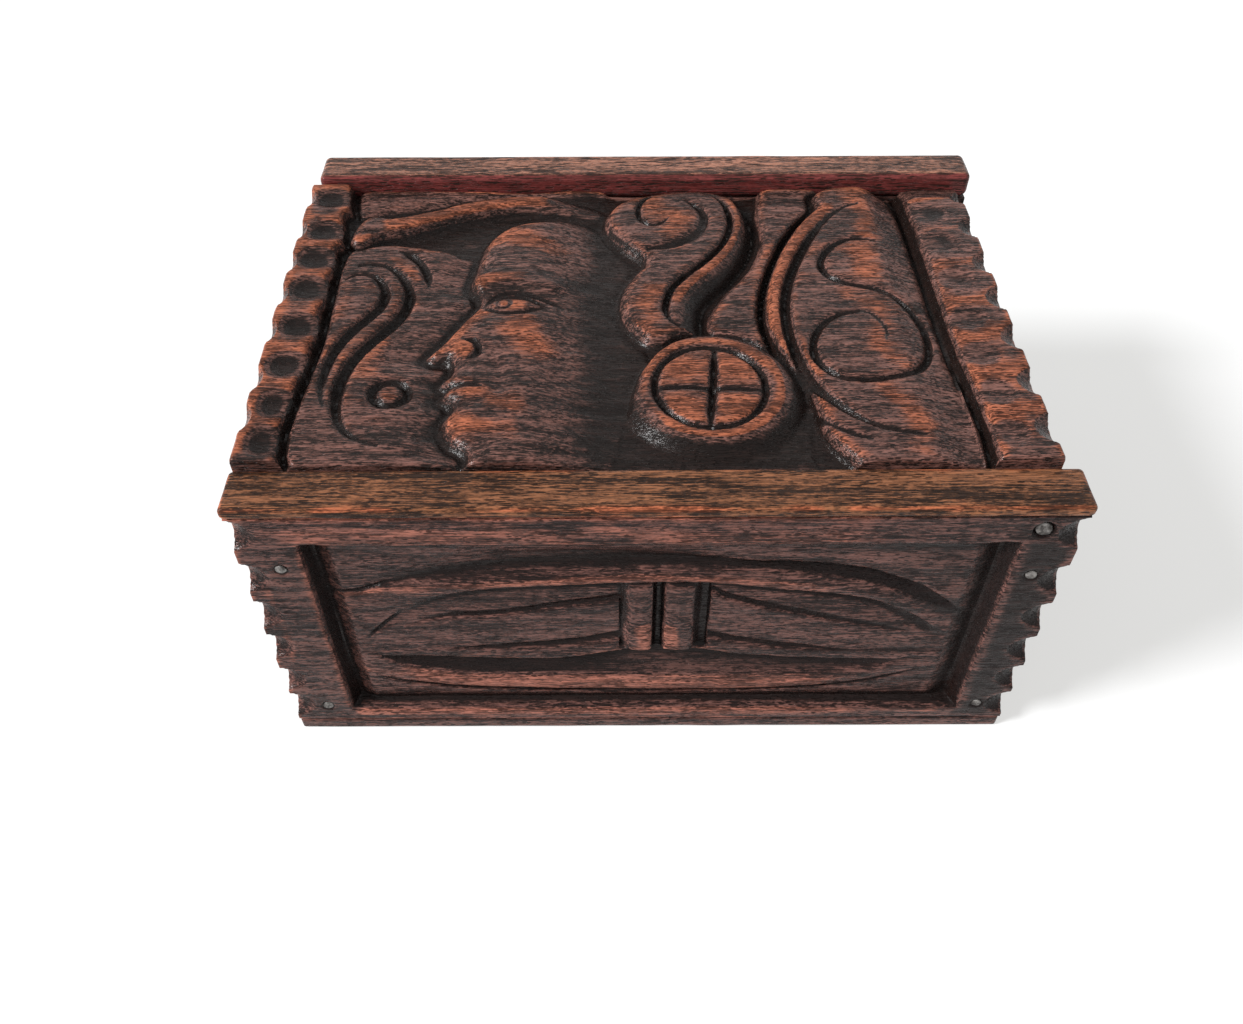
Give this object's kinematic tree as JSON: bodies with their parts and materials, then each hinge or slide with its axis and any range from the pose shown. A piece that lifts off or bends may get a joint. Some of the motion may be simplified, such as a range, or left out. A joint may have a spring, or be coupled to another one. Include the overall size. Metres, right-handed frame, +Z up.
{
  "type": "keepsake box",
  "caption": "Small carved wooden keepsake box with scalloped corners and a thick relief-carved lid that turns on nails at one end.",
  "frame": {"origin": "middle of the outline on the surface that the box stands on", "axes": "+X to the right along the length, +Y towards the back, +Z up"},
  "size_m": [0.1326, 0.0974, 0.0636],
  "materials": {
    "dark_wood": "dark stained, semi-gloss wax, open grain",
    "worn_wood": "worn, waxed, open grain",
    "carved_wood": "carved, stained dark in the hollows and worn red-brown on the high parts",
    "steel": "dull wire nails"
  },
  "bodies": {
    "box": {"base_board": "dark_wood", "front_board": "dark_wood", "back_board": "dark_wood", "left_side": "dark_wood", "right_side": "dark_wood", "front_rail": "worn_wood", "back_rail": "worn_wood", "hinge_pin_front": "steel", "hinge_pin_back": "steel", "corner_nail_front_1": "steel", "corner_nail_front_2": "steel", "corner_nail_front_3": "steel", "corner_nail_front_4": "steel", "corner_nail_back_1": "steel", "corner_nail_back_2": "steel", "corner_nail_back_3": "steel", "corner_nail_back_4": "steel", "base_nail_1": "steel", "base_nail_2": "steel", "base_nail_3": "steel", "base_nail_4": "steel", "base_nail_5": "steel", "base_nail_6": "steel"},
    "lid": {"lid": "carved_wood"}
  },
  "joints": [
    {"name": "lid_hinge", "type": "hinge", "parent": "box", "child": "lid", "pos_m": [0.0596, 0, 0.0552], "axis": [0, 1, 0], "range_deg": [0, 94]}
  ]
}
